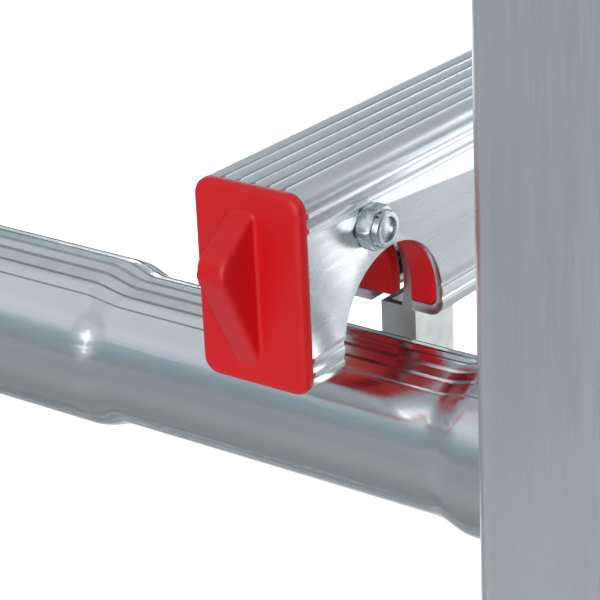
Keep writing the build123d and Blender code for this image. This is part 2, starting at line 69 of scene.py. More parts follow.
# ---- node helpers ---------------------------------------------------------------------
@dataclass
class NodeSheet:
    """A small writer for one material's shader nodes."""

    material: bpy.types.Material

    @classmethod
    def fresh(cls, name: str) -> "NodeSheet":
        """Start a material with a principled shader.

        Args:
            name: The material's name.

        Returns:
            The writer for the new material.
        """
        material = bpy.data.materials.new(name)
        material.use_nodes = True
        return cls(material)

    @property
    def shader(self) -> bpy.types.Node:
        """The principled shader."""
        return self.material.node_tree.nodes["Principled BSDF"]

    def set(self, **values: float | tuple) -> None:
        """Set constant values on the shader's own sockets.

        Args:
            values: Socket names with underscores for spaces, and their values.
        """
        for key, value in values.items():
            self.shader.inputs[key.replace("_", " ")].default_value = value

    def add(self, kind: str, **settings: object) -> bpy.types.Node:
        """Add a node.

        Args:
            kind: The node's type name.
            settings: Attributes to set on it.

        Returns:
            The new node.
        """
        node = self.material.node_tree.nodes.new(kind)
        for key, value in settings.items():
            setattr(node, key, value)
        return node

    def join(self, source: bpy.types.NodeSocket, target: bpy.types.NodeSocket) -> None:
        """Link two sockets."""
        self.material.node_tree.links.new(source, target)

    def coordinates(self, scale: Sequence[float]) -> bpy.types.NodeSocket:
        """Object coordinates, scaled.

        Args:
            scale: Factors along X, Y and Z.

        Returns:
            The scaled vector socket.
        """
        source = self.add("ShaderNodeTexCoord").outputs["Object"]
        mapping = self.add("ShaderNodeMapping")
        mapping.inputs["Scale"].default_value = scale
        self.join(source, mapping.inputs["Vector"])
        return mapping.outputs["Vector"]

    def noise(self, vector: bpy.types.NodeSocket, scale: float, detail: float = 4.0,
              roughness: float = 0.55) -> bpy.types.NodeSocket:
        """A noise pattern's factor socket."""
        node = self.add("ShaderNodeTexNoise")
        node.inputs["Scale"].default_value = scale
        node.inputs["Detail"].default_value = detail
        node.inputs["Roughness"].default_value = roughness
        self.join(vector, node.inputs["Vector"])
        return node.outputs["Fac"]

    def spread(self, value: bpy.types.NodeSocket, low: float, high: float,
               from_low: float = 0.0, from_high: float = 1.0) -> bpy.types.NodeSocket:
        """Map a factor onto a range of values."""
        node = self.add("ShaderNodeMapRange")
        node.inputs["From Min"].default_value = from_low
        node.inputs["From Max"].default_value = from_high
        node.inputs["To Min"].default_value = low
        node.inputs["To Max"].default_value = high
        self.join(value, node.inputs["Value"])
        return node.outputs["Result"]

    def blend(self, factor: bpy.types.NodeSocket, first: tuple, second: tuple
              ) -> bpy.types.NodeSocket:
        """Mix two colours by a factor."""
        node = self.add("ShaderNodeMix", data_type="RGBA")
        self.join(factor, node.inputs["Factor"])
        node.inputs[6].default_value = (*first, 1.0)
        node.inputs[7].default_value = (*second, 1.0)
        return node.outputs[2]

    def total(self, first: bpy.types.NodeSocket, second: bpy.types.NodeSocket,
              operation: str = "ADD") -> bpy.types.NodeSocket:
        """Combine two values with a maths operation."""
        node = self.add("ShaderNodeMath", operation=operation)
        self.join(first, node.inputs[0])
        self.join(second, node.inputs[1])
        return node.outputs[0]

    def bump(self, height: bpy.types.NodeSocket, strength: float, distance: float,
             below: bpy.types.NodeSocket | None = None) -> bpy.types.NodeSocket:
        """A bump layer, on top of another if one is given."""
        node = self.add("ShaderNodeBump")
        node.inputs["Strength"].default_value = strength
        node.inputs["Distance"].default_value = distance
        self.join(height, node.inputs["Height"])
        if below is not None:
            self.join(below, node.inputs["Normal"])
        return node.outputs["Normal"]


# ---- finishes -------------------------------------------------------------------------
@dataclass(frozen=True)
class Aluminium:
    """Bare aluminium with lines along its run.

    Attributes:
        name: The material's name.
        run: The direction of the lines.
        tone: The colour of clean metal.
        dull: The colour of oxidised patches.
        roughness: Lowest and highest roughness.
        line_bump: Depth of the lines, in metres.
        underside_shade: Painted shade, a darker colour for what faces down, if any; it stands
            in for the dim floor that those faces reflect.
    """

    name: str
    run: Run
    tone: tuple[float, float, float] = (0.80, 0.81, 0.83)
    dull: tuple[float, float, float] = (0.66, 0.68, 0.70)
    roughness: tuple[float, float] = (0.22, 0.38)
    line_bump: float = 0.00006
    underside_shade: tuple[float, float, float] | None = None

    def build(self) -> bpy.types.Material:
        """Make the material."""
        sheet = NodeSheet.fresh(self.name)
        sheet.set(Metallic=1.0)
        stretched = sheet.coordinates(self.run.value)
        plain = sheet.coordinates((1.0, 1.0, 1.0))
        fine = sheet.noise(stretched, 1400.0, 3.0, 0.6)
        coarse = sheet.noise(stretched, 260.0, 2.0, 0.5)
        clouds = sheet.noise(plain, 22.0, 5.0, 0.6)
        lines = sheet.total(fine, coarse)
        colour = sheet.blend(sheet.spread(clouds, 0.0, 1.0, 0.35, 0.75), self.tone, self.dull)
        # Painted shade: faces that point down are mixed towards the darker underside colour.
        if self.underside_shade is not None:
            colour = self.painted_shade_below(sheet, colour)
        sheet.join(colour, sheet.shader.inputs["Base Color"])
        low, high = self.roughness
        sheet.join(sheet.spread(lines, low, high, 0.7, 1.3), sheet.shader.inputs["Roughness"])
        normal = sheet.bump(lines, 0.35, self.line_bump)
        sheet.join(normal, sheet.shader.inputs["Normal"])
        return sheet.material

    def painted_shade_below(self, sheet: NodeSheet, clean: bpy.types.NodeSocket
                   ) -> bpy.types.NodeSocket:
        """Paint shade on what faces down: a darker colour by facing, standing in for the dim
        floor that those faces reflect.

        Args:
            sheet: The material being made.
            clean: The colour from above.

        Returns:
            The mixed colour.
        """
        parts = sheet.add("ShaderNodeSeparateXYZ")
        sheet.join(sheet.add("ShaderNodeTexCoord").outputs["Normal"], parts.inputs["Vector"])
        # Painted shade: the more a face points down, the more of the darker underside colour
        # it takes.
        factor = sheet.spread(parts.outputs["Z"], 0.0, 1.0, 0.25, -0.35)
        mix = sheet.add("ShaderNodeMix", data_type="RGBA")
        sheet.join(factor, mix.inputs["Factor"])
        sheet.join(clean, mix.inputs[6])
        mix.inputs[7].default_value = (*self.underside_shade, 1.0)
        return mix.outputs[2]


@dataclass(frozen=True)
class Plastic:
    """Moulded plastic with a fine orange-peel skin."""

    name: str
    tone: tuple[float, float, float]
    shade: tuple[float, float, float]
    roughness: float = 0.28
    coat: float = 0.25
    grain: float = 420.0
    grain_depth: float = 0.00003

    def build(self) -> bpy.types.Material:
        """Make the material."""
        sheet = NodeSheet.fresh(self.name)
        sheet.set(Roughness=self.roughness, Coat_Weight=self.coat, Coat_Roughness=0.15)
        plain = sheet.coordinates((1.0, 1.0, 1.0))
        clouds = sheet.noise(plain, 60.0, 3.0, 0.5)
        colour = sheet.blend(sheet.spread(clouds, 0.0, 1.0, 0.3, 0.7), self.tone, self.shade)
        sheet.join(colour, sheet.shader.inputs["Base Color"])
        grain = sheet.noise(plain, self.grain, 2.0, 0.5)
        sheet.join(sheet.bump(grain, 0.25, self.grain_depth), sheet.shader.inputs["Normal"])
        return sheet.material


@dataclass(frozen=True)
class Galvanised:
    """Steel with a zinc skin of large pale crystals."""

    name: str
    cool: tuple[float, float, float] = (0.52, 0.58, 0.58)
    warm: tuple[float, float, float] = (0.66, 0.65, 0.60)

    def build(self) -> bpy.types.Material:
        """Make the material."""
        sheet = NodeSheet.fresh(self.name)
        sheet.set(Metallic=1.0)
        plain = sheet.coordinates((1.0, 1.0, 1.0))
        clouds = sheet.noise(plain, 90.0, 4.0, 0.6)
        crystals = sheet.add("ShaderNodeTexVoronoi", feature="F1")
        crystals.inputs["Scale"].default_value = 420.0
        sheet.join(plain, crystals.inputs["Vector"])
        colour = sheet.blend(sheet.spread(clouds, 0.0, 1.0, 0.35, 0.65), self.cool, self.warm)
        sheet.join(colour, sheet.shader.inputs["Base Color"])
        cell = crystals.outputs["Distance"]
        sheet.join(sheet.spread(cell, 0.28, 0.48), sheet.shader.inputs["Roughness"])
        sheet.join(sheet.bump(clouds, 0.2, 0.0001), sheet.shader.inputs["Normal"])
        return sheet.material


@dataclass(frozen=True)
class ZincPlate:
    """Bright zinc plate with fine pitting."""

    name: str
    tone: tuple[float, float, float] = (0.62, 0.67, 0.70)
    dull: tuple[float, float, float] = (0.42, 0.47, 0.50)

    def build(self) -> bpy.types.Material:
        """Make the material."""
        sheet = NodeSheet.fresh(self.name)
        sheet.set(Metallic=1.0)
        plain = sheet.coordinates((1.0, 1.0, 1.0))
        pits = sheet.noise(plain, 700.0, 4.0, 0.65)
        colour = sheet.blend(sheet.spread(pits, 0.0, 1.0, 0.35, 0.7), self.tone, self.dull)
        sheet.join(colour, sheet.shader.inputs["Base Color"])
        sheet.join(sheet.spread(pits, 0.18, 0.38), sheet.shader.inputs["Roughness"])
        sheet.join(sheet.bump(pits, 0.15, 0.00003), sheet.shader.inputs["Normal"])
        return sheet.material


@dataclass(frozen=True)
class Finishes:
    """Every material of the ladder, made once."""

    upright: bpy.types.Material
    across: bpy.types.Material
    deep: bpy.types.Material
    rung: bpy.types.Material
    red: bpy.types.Material
    dark: bpy.types.Material
    rubber: bpy.types.Material
    galvanised: bpy.types.Material
    zinc: bpy.types.Material

    @classmethod
    def make(cls) -> "Finishes":
        """Build all materials.

        Returns:
            The set of finishes.
        """
        return cls(
            upright=Aluminium("stile_aluminium", Run.UPRIGHT,
                              tone=(0.82, 0.83, 0.84), dull=(0.74, 0.75, 0.77)).build(),
            across=Aluminium("bar_aluminium", Run.ACROSS).build(),
            deep=Aluminium("arm_aluminium", Run.DEEP, tone=(0.76, 0.79, 0.81),
                           dull=(0.64, 0.67, 0.69)).build(),
            # The rung's downward faces get painted shade from its underside colour.
            rung=Aluminium("rung_aluminium", Run.ACROSS, tone=(0.88, 0.89, 0.90),
                           dull=(0.80, 0.81, 0.83), roughness=(0.10, 0.24),
                           underside_shade=(0.40, 0.41, 0.42)).build(),
            red=Plastic("red_plastic", (0.74, 0.002, 0.008), (0.68, 0.002, 0.007),
                        roughness=0.46, coat=0.0).build(),
            dark=Plastic("dark_plastic", (0.035, 0.036, 0.040), (0.05, 0.05, 0.055),
                         roughness=0.5, coat=0.0).build(),
            rubber=Plastic("black_rubber", (0.022, 0.022, 0.022), (0.04, 0.04, 0.04),
                           roughness=0.75, coat=0.0, grain=300.0,
                           grain_depth=0.0001).build(),
            galvanised=Galvanised("galvanised_steel").build(),
            zinc=ZincPlate("zinc_plate").build())

    def of_slot(self, piece: "SoftEdge") -> bpy.types.Material:
        """The finish that a piece takes from its slot and run.

        Args:
            piece: The piece to dress.

        Returns:
            Its material.
        """
        if piece.slot == "arm_aluminium":
            across = piece.node in ("wall_bar", "stay_bar")
            upright = piece.node.startswith("stay_leg")
            return self.across if across else self.upright if upright else self.deep
        return {"red_plastic": self.red, "galvanised_steel": self.galvanised,
                "zinc_fasteners": self.zinc, "black_rubber": self.rubber,
                "dark_plastic": self.dark, "guide_aluminium": self.upright}[piece.slot]


def dress(thing: bpy.types.Object, material: bpy.types.Material) -> None:
    """Give a whole object one material.

    Args:
        thing: The mesh object.
        material: Its finish.
    """
    if thing.material_slots:
        for place in thing.material_slots:
            place.material = material
    else:
        thing.data.materials.append(material)


# ---- the modelling bench --------------------------------------------------------------
Test = Callable[[Vector, Vector], bool]


class Bench:
    """Blender's own tools, used one piece at a time."""

    @staticmethod
    def alone(thing: bpy.types.Object) -> None:
        """Select one object only and make it active."""
        if bpy.context.mode != "OBJECT":
            bpy.ops.object.mode_set(mode="OBJECT")
        bpy.ops.object.select_all(action="DESELECT")
        thing.select_set(True)
        bpy.context.view_layer.objects.active = thing

    @staticmethod
    def settle(thing: bpy.types.Object) -> None:
        """Put the object at the origin, with its place in its mesh."""
        Bench.alone(thing)
        bpy.ops.object.transform_apply(location=True, rotation=True, scale=True)

    @staticmethod
    def box(low: Vector, high: Vector) -> bpy.types.Object:
        """Add a cube that fills a box.

        Args:
            low: The lowest corner.
            high: The highest corner.

        Returns:
            The new object.
        """
        bpy.ops.object.select_all(action="DESELECT")
        bpy.ops.mesh.primitive_cube_add(size=1.0, location=(low + high) / 2)
        thing = bpy.context.active_object
        thing.scale = high - low
        Bench.settle(thing)
        return thing

    @staticmethod
    def rod(axis: str, radius: float, start: Vector, length: float, sides: int
            ) -> bpy.types.Object:
        """Add a cylinder along an axis.

        Args:
            axis: "X", "Y" or "Z".
            radius: Its radius.
            start: The centre of its lower end.
            length: Its length.
            sides: How many faces it has round it.

        Returns:
            The new object.
        """
        turns = {"X": (0.0, math.pi / 2, 0.0), "Y": (math.pi / 2, 0.0, 0.0),
                 "Z": (0.0, 0.0, 0.0)}
        along = {"X": Vector((1, 0, 0)), "Y": Vector((0, 1, 0)), "Z": Vector((0, 0, 1))}
        bpy.ops.object.select_all(action="DESELECT")
        bpy.ops.mesh.primitive_cylinder_add(
            vertices=sides, radius=radius, depth=length, rotation=turns[axis],
            location=start + along[axis] * length / 2)
        thing = bpy.context.active_object
        Bench.settle(thing)
        return thing

    @staticmethod
    def open(thing: bpy.types.Object, kind: str = "FACE") -> None:
        """Go into edit mode with nothing selected.

        Args:
            thing: The object to edit.
            kind: "VERT", "EDGE" or "FACE".
        """
        Bench.alone(thing)
        bpy.ops.object.mode_set(mode="EDIT")
        bpy.ops.mesh.select_mode(type=kind)
        bpy.ops.mesh.select_all(action="DESELECT")

    @staticmethod
    def close() -> None:
        """Go back to object mode."""
        bpy.ops.object.mode_set(mode="OBJECT")

    @staticmethod
    def faces(thing: bpy.types.Object, test: Test) -> int:
        """Select the faces that a test of centre and normal accepts.

        Args:
            thing: The object in edit mode.
            test: Takes a face's centre and normal.

        Returns:
            How many faces are selected.
        """
        mesh = bmesh.from_edit_mesh(thing.data)
        bpy.ops.mesh.select_all(action="DESELECT")
        chosen = [f for f in mesh.faces if test(f.calc_center_median(), f.normal)]
        for face in chosen:
            face.select_set(True)
        mesh.select_flush_mode()
        bmesh.update_edit_mesh(thing.data)
        return len(chosen)

    @staticmethod
    def edges(thing: bpy.types.Object, test: Test) -> int:
        """Select the edges that a test of middle and direction accepts."""
        mesh = bmesh.from_edit_mesh(thing.data)
        bpy.ops.mesh.select_all(action="DESELECT")
        chosen = []
        for edge in mesh.edges:
            first, last = (v.co for v in edge.verts)
            if test((first + last) / 2, (last - first).normalized()):
                chosen.append(edge)
        for edge in chosen:
            edge.select_set(True)
        mesh.select_flush_mode()
        bmesh.update_edit_mesh(thing.data)
        return len(chosen)

    @staticmethod
    def corners(thing: bpy.types.Object, test: Callable[[Vector], bool]) -> int:
        """Select the vertices that a test of place accepts."""
        mesh = bmesh.from_edit_mesh(thing.data)
        bpy.ops.mesh.select_all(action="DESELECT")
        chosen = [v for v in mesh.verts if test(v.co)]
        for corner in chosen:
            corner.select_set(True)
        mesh.select_flush_mode()
        bmesh.update_edit_mesh(thing.data)
        return len(chosen)

    @staticmethod
    def modify(thing: bpy.types.Object, kind: str, **settings: object) -> None:
        """Add a modifier and apply it.

        Args:
            thing: The object.
            kind: The modifier's type.
            settings: Attributes to set on it.
        """
        Bench.alone(thing)
        bpy.ops.object.modifier_add(type=kind)
        modifier = thing.modifiers[-1]
        for key, value in settings.items():
            setattr(modifier, key, value)
        bpy.ops.object.modifier_apply(modifier=modifier.name)

    @staticmethod
    def combine(thing: bpy.types.Object, tool: bpy.types.Object, operation: str) -> None:
        """Join, cut or intersect with another closed shape, which is used up."""
        Bench.modify(thing, "BOOLEAN", object=tool, operation=operation, solver="EXACT")
        bpy.data.objects.remove(tool, do_unlink=True)

    @staticmethod
    def round_edges(thing: bpy.types.Object, width: float, segments: int = 3,
                    angle: float = 35.0) -> None:
        """Round every edge sharper than an angle."""
        Bench.modify(thing, "BEVEL", width=width, segments=segments, limit_method="ANGLE",
                     angle_limit=math.radians(angle), use_clamp_overlap=True)

    @staticmethod
    def copy(thing: bpy.types.Object) -> bpy.types.Object:
        """Duplicate an object with its own mesh."""
        Bench.alone(thing)
        bpy.ops.object.duplicate(linked=False)
        return bpy.context.active_object

    @staticmethod
    def gather(things: Sequence[bpy.types.Object]) -> bpy.types.Object:
        """Join several objects into the first."""
        Bench.alone(things[0])
        for thing in things:
            thing.select_set(True)
        bpy.ops.object.join()
        return bpy.context.active_object

    @staticmethod
    def reflect(thing: bpy.types.Object) -> bpy.types.Object:
        """The other hand of a piece, mirrored across the ladder's centre plane."""
        other = Bench.copy(thing)
        other.scale = (-1.0, 1.0, 1.0)
        Bench.settle(other)
        Bench.open(other)
        bpy.ops.mesh.select_all(action="SELECT")
        bpy.ops.mesh.normals_make_consistent(inside=False)
        Bench.close()
        return other

    @staticmethod
    def cad_copy(node: str) -> bpy.types.Object:
        """A merged copy of a CAD node's mesh, free of the node.

        Args:
            node: The node's name.

        Returns:
            The new object, with flat areas as single faces.
        """
        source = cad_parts[node]
        thing = bpy.data.objects.new(node + "_copy", source.data.copy())
        bpy.context.scene.collection.objects.link(thing)
        thing.data.materials.clear()
        Bench.open(thing)
        bpy.ops.mesh.select_all(action="SELECT")
        bpy.ops.mesh.remove_doubles(threshold=0.00001)
        bpy.ops.mesh.dissolve_limited(angle_limit=math.radians(0.8))
        Bench.close()
        return thing


@dataclass(frozen=True)
class Place:
    """Where a finished piece belongs.

    Attributes:
        body: The body it rides on.
        nodes: The CAD nodes it stands for.
        slot: The record's material slot of its finish; not used.
    """

    body: str
    nodes: tuple[str, ...]
    slot: str


def hand_in(thing: bpy.types.Object, name: str, material: bpy.types.Material,
            place: Place, smooth: float = 32.0) -> bpy.types.Object:
    """Finish a piece: shading, material and body.

    Args:
        thing: The modelled object.
        name: The piece's name.
        material: Its finish.
        place: Its body, nodes and slot.
        smooth: Edges flatter than this are smooth, in degrees.

    Returns:
        The finished piece.
    """
    Bench.settle(thing)
    bpy.ops.object.shade_smooth_by_angle(angle=math.radians(smooth))
    thing.name = name
    thing.data.name = name
    dress(thing, material)
    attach(thing, place.body)
    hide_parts(*place.nodes)
    LOG.info("made %s: %d faces on %s", name, len(thing.data.polygons), place.body)
    return thing


# ---- rungs ----------------------------------------------------------------------------
@dataclass
class Rungs:
    """Drawn round rungs with tread grooves along the top.

    Attributes:
        material: The rungs' finish.
        sides: Faces round a rung.
        groove_step: Faces from one groove to the next.
        grooves: How many grooves.
        groove_depth: Depth of a groove, in metres.
        seat_radius: Radius of a swaged seat, in metres.
        seat_span: Seat's ends from the arm's outer face, inner end first, in metres.
        shoulder: Length of the step from seat to full tube, in metres.
        inset: How far a rung stops short of its CAD node's end, in metres.
    """

    material: bpy.types.Material
    sides: int = 96
    groove_step: int = 3
    grooves: int = 7
    groove_depth: float = 0.00045
    seat_radius: float = 0.016
    seat_span: tuple[float, float] = (-0.063, 0.0155)
    shoulder: float = 0.009
    inset: float = 0.0

    def tube(self, low: Vector, high: Vector) -> bpy.types.Object:
        """A plain rung in its box, before the grooves."""
        radius = (high.z - low.z) / 2
        centre = Vector((low.x + self.inset, (low.y + high.y) / 2, (low.z + high.z) / 2))
        return Bench.rod("X", radius, centre, high.x - low.x - 2 * self.inset, self.sides)

    def swage(self, rung: bpy.types.Object, axis: Vector, arm_face: float,
              radius: float) -> None:
        """Press the two seats into the top rung.

        Args:
            rung: The plain tube.
            axis: A point on the rung's axis.
            arm_face: The arm's outer face along X.
            radius: The tube's full radius.
        """
        steps = 6
        inner = arm_face + self.seat_span[0]
        outer = arm_face + self.seat_span[1]
        stations: list[tuple[float, float]] = []
        for k in range(steps + 1):
            share = k / steps
            ease = share * share * (3 - 2 * share)
            size = radius + (self.seat_radius - radius) * ease
            stations.append((inner - self.shoulder * (1 - share), size))
            stations.append((outer + self.shoulder * (1 - share), size))
        Bench.open(rung, "VERT")
        for x, _ in stations:
            for side in (-1, 1):
                bpy.ops.mesh.select_all(action="SELECT")
                bpy.ops.mesh.bisect(plane_co=(side * x, 0, 0), plane_no=(1, 0, 0))
        for x, size in stations:
            found = Bench.corners(rung, lambda c, x=x: abs(abs(c.x) - x) < 1e-5)
            if found and size < radius:
                share = size / radius
                bpy.ops.transform.resize(value=(1.0, share, share), center_override=axis)
        Bench.close()

    def groove(self, rung: bpy.types.Object, axis: Vector, radius: float) -> None:
        """Cut the tread grooves along the top."""
        step = 2 * math.pi / self.sides
        first = -(self.grooves // 2) * self.groove_step * step
        places = [first + i * self.groove_step * step for i in range(self.grooves)]

        def in_groove(centre: Vector, normal: Vector) -> bool:
            """Whether a side face lies on one of the grooves."""
            if abs(normal.x) > 0.7:
                return False
            angle = math.atan2(centre.y - axis.y, centre.z - axis.z) + step / 2
            return any(abs(angle - p) < step * 0.55 for p in places)

        Bench.open(rung)
        Bench.faces(rung, in_groove)
        bpy.ops.mesh.extrude_region_shrink_fatten(
            TRANSFORM_OT_shrink_fatten={"value": -self.groove_depth})
        Bench.close()

    def build(self) -> None:
        """Make the rungs of both sections."""
        for node, body in (("base_rungs", "base_section"), ("fly_rungs", "fly_section"),
                           ("fly_top_rung", "fly_section")):
            low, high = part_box(node)
            depth = high.y - low.y
            count = round((high.z - low.z - depth) / RUNG_PITCH) + 1
            top_low = Vector((low.x, low.y, high.z - depth))
            rung = self.tube(top_low, high)
            axis = (top_low + high) / 2
            if node == "fly_top_rung":
                arm_low, arm_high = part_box("arm_right")
                self.swage(rung, axis, arm_high.x, depth / 2)
            self.groove(rung, axis, depth / 2)
            rungs = [rung]
            for k in range(1, count):
                other = Bench.copy(rung)
                other.location = (0.0, 0.0, -k * RUNG_PITCH)
                Bench.settle(other)
                rungs.append(other)
            hand_in(Bench.gather(rungs), "ribbed_" + node, self.material,
                    Place(body, (node,), "rung_aluminium"))


# ---- stiles ---------------------------------------------------------------------------
@dataclass
class Stiles:
    """Extruded box stiles with rounded corners."""

    material: bpy.types.Material
    corner: float = 0.006
    wall: float = 0.002

    def tube(self, node: str) -> bpy.types.Object:
        """A hollow stile in its node's box."""
        low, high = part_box(node)
        thing = Bench.box(low, high)
        Bench.open(thing, "EDGE")
        Bench.edges(thing, lambda mid, way: abs(way.z) > 0.9)
        bpy.ops.mesh.bevel(offset=self.corner, segments=10, affect="EDGES")
        bpy.ops.mesh.select_mode(type="FACE")
        Bench.faces(thing, lambda centre, normal: abs(normal.z) > 0.9)
        bpy.ops.mesh.delete(type="FACE")
        Bench.close()
        Bench.modify(thing, "SOLIDIFY", thickness=self.wall, offset=-1.0,
                     use_even_offset=True)
        return thing

    def build(self) -> None:
        """Make the four stiles."""
        for section in ("base", "fly"):
            for side in SIDES:
                node = f"{section}_stile_{side}"
                hand_in(self.tube(node), "extruded_" + node, self.material,
                        Place(section + "_section", (node,), "stile_aluminium"), 20.0)


# ---- stand-off ------------------------------------------------------------------------
@dataclass
class EndPlug:
    """The arm's moulded end plug, with a pinch rib on its face.

    Attributes:
        material: The plug's finish.
        plate: Thickness of the face plate.
        rib_width: Width of the rib.
        rib_offset: The rib's centre from the plate's centre, along X.
        heights: The rib's foot, peak and top above the arm's underside.
        voxel: Size of the steps that blend the rib into the plate.
        rounding: How much the crest's rounding takes off the peak.
        corner: Rounding of the plate's upright corners.
        front: Rounding of the plate's front edge.
        crest: Rounding of the rib's peak.
        flank: Rounding of the rib's long edges.
        spigot_gap: How far the spigot stands in from the plate's edge.
    """

    material: bpy.types.Material
    plate: float = 0.0022
    rib_width: float = 0.0062
    # heights: The rib's foot, peak and top above the arm's bottom face.
    rib_offset: float = -0.0012
    heights: tuple[float, float, float] = (0.0040, 0.0268, 0.0352)
    voxel: float = 0.00032
    rounding: float = 0.0012
    corner: float = 0.0034
    front: float = 0.0013
    crest: float = 0.0042
    flank: float = 0.0010
    spigot_gap: float = 0.0016

    def rib(self, face: float, centre: float, bottom: float, peak: float
            ) -> bpy.types.Object:
        """The wedge, from its peak down to the plate at both ends."""
        foot, top, end = (bottom + h for h in self.heights)
        half = self.rib_width / 2
        behind = face + self.plate / 2
        thing = Bench.box(Vector((centre - half, peak, foot)),
                          Vector((centre + half, behind, end)))
        Bench.open(thing, "VERT")
        bpy.ops.mesh.select_all(action="SELECT")
        bpy.ops.mesh.bisect(plane_co=(0, 0, top), plane_no=(0, 0, 1))
        Bench.corners(thing, lambda c: c.y < face - MM and abs(c.z - top) > MM)
        bpy.ops.transform.translate(value=(0.0, face - peak, 0.0))
        bpy.ops.mesh.select_mode(type="EDGE")
        Bench.edges(thing, lambda mid, way: abs(way.x) > 0.9 and mid.y < peak + MM)
        bpy.ops.mesh.bevel(offset=self.crest, segments=6, affect="EDGES")
        Bench.edges(thing, lambda mid, way: abs(way.x) < 0.1 and mid.y < face - 0.0003
                    and abs(abs(mid.x - centre) - half) < 0.0001)
        bpy.ops.mesh.bevel(offset=self.flank, segments=3, affect="EDGES")
        Bench.close()
        return thing

    def build(self) -> None:
        """Make both plugs."""
        low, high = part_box("end_plug_right")
        arm_low, arm_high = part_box("arm_right")
        face = arm_low.y - self.plate
        plate = Bench.box(Vector((arm_low.x, face, arm_low.z)),
                          Vector((arm_high.x, high.y, arm_high.z)))
        Bench.open(plate, "EDGE")
        Bench.edges(plate, lambda mid, way: abs(way.y) > 0.9)
        bpy.ops.mesh.bevel(offset=self.corner, segments=6, affect="EDGES")
        bpy.ops.mesh.select_mode(type="FACE")
        Bench.faces(plate, lambda centre, normal: normal.y < -0.9)
        bpy.ops.mesh.select_mode(type="EDGE")
        bpy.ops.mesh.region_to_loop()
        bpy.ops.mesh.bevel(offset=self.front, segments=4, affect="EDGES")
        Bench.close()
        Bench.open(plate)
        bpy.ops.mesh.select_all(action="SELECT")
        bpy.ops.mesh.bisect(plane_co=(0, arm_low.y, 0), plane_no=(0, 1, 0))
        width = arm_high.x - arm_low.x
        height = arm_high.z - arm_low.z
        Bench.corners(plate, lambda c: c.y > arm_low.y + 0.1 * MM)
        slack = 2 * self.spigot_gap
        shrink = ((width - slack) / width, 1.0, (height - slack) / height)
        middle = (arm_low + arm_high) / 2
        bpy.ops.transform.resize(value=shrink, center_override=middle)
        Bench.close()
        centre = (arm_low.x + arm_high.x) / 2 + self.rib_offset
        peak = low.y - self.rounding
        Bench.combine(plate, self.rib(face, centre, arm_low.z, peak), "UNION")
        Bench.modify(plate, "REMESH", mode="VOXEL", voxel_size=self.voxel)
        Bench.modify(plate, "SMOOTH", factor=0.6, iterations=5)
        other = Bench.reflect(plate)
        for thing, side in ((plate, "right"), (other, "left")):
            node = "end_plug_" + side
            hand_in(thing, "moulded_" + node, self.material,
                    Place("stand_off", (node,), "red_plastic"), 60.0)


@dataclass
class LockNut:
    """A lock nut: chamfered hexagon, rounded collar and open bore.

    Attributes:
        material: The nut's finish.
        collar: The collar's height.
        collar_radius: The collar's outer radius.
        bore: The bore's radius.
        chamfer: Rounding of the hexagon's ends.
        lip: Rounding of the collar's outer edge.
    """

    material: bpy.types.Material
    collar: float = 0.0013
    collar_radius: float = 0.00375
    bore: float = 0.0025
    chamfer: float = 0.0007
    lip: float = 0.0006

    def make(self, low: Vector, high: Vector) -> bpy.types.Object:
        """One nut with its collar towards +X, in its box."""
        across = high.y - low.y
        flats = min(across, high.z - low.z)
        points = flats / math.cos(math.radians(30))
        middle = (low + high) / 2
        start = Vector((low.x, middle.y, middle.z))
        height = high.x - low.x - self.collar
        hexagon = Bench.rod("X", points / 2, start, height, 6)
        if across > high.z - low.z:
            Bench.open(hexagon)
            bpy.ops.mesh.select_all(action="SELECT")
            bpy.ops.transform.rotate(value=math.radians(30), orient_axis="X",
                                     center_override=start)
            Bench.close()
        turned = Bench.rod("X", points / 2 * 0.985, start, height, 64)
        Bench.open(turned, "EDGE")
        Bench.edges(turned, lambda mid, way: abs(way.x) < 0.1)
        bpy.ops.mesh.bevel(offset=self.chamfer, segments=2, affect="EDGES")
        Bench.close()
        Bench.combine(hexagon, turned, "INTERSECT")
        overlap = 0.0003
        ring = Bench.rod("X", self.collar_radius,
                         start + Vector((height - overlap, 0, 0)), self.collar + overlap, 64)
        Bench.open(ring, "EDGE")
        Bench.edges(ring, lambda mid, way: abs(way.x) < 0.1 and mid.x > high.x - 0.0002)
        bpy.ops.mesh.bevel(offset=self.lip, segments=4, affect="EDGES")
        Bench.close()
        Bench.combine(hexagon, ring, "UNION")
        hole = Bench.rod("X", self.bore, start + Vector((-0.001, 0, 0)),
                         high.x - low.x + 0.002, 48)
        Bench.combine(hexagon, hole, "DIFFERENCE")
        Bench.round_edges(hexagon, 0.00012, 2, 40.0)
        return hexagon

    def build(self) -> None:
        """Make the nuts of both latches."""
        low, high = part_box("latch_nut_right")
        nut = self.make(low, high)
        other = Bench.reflect(nut)
        for thing, side in ((nut, "right"), (other, "left")):
            node = "latch_nut_" + side
            hand_in(thing, "lock_nut_" + side, self.material,
                    Place("stand_off", (node,), "zinc_fasteners"), 40.0)


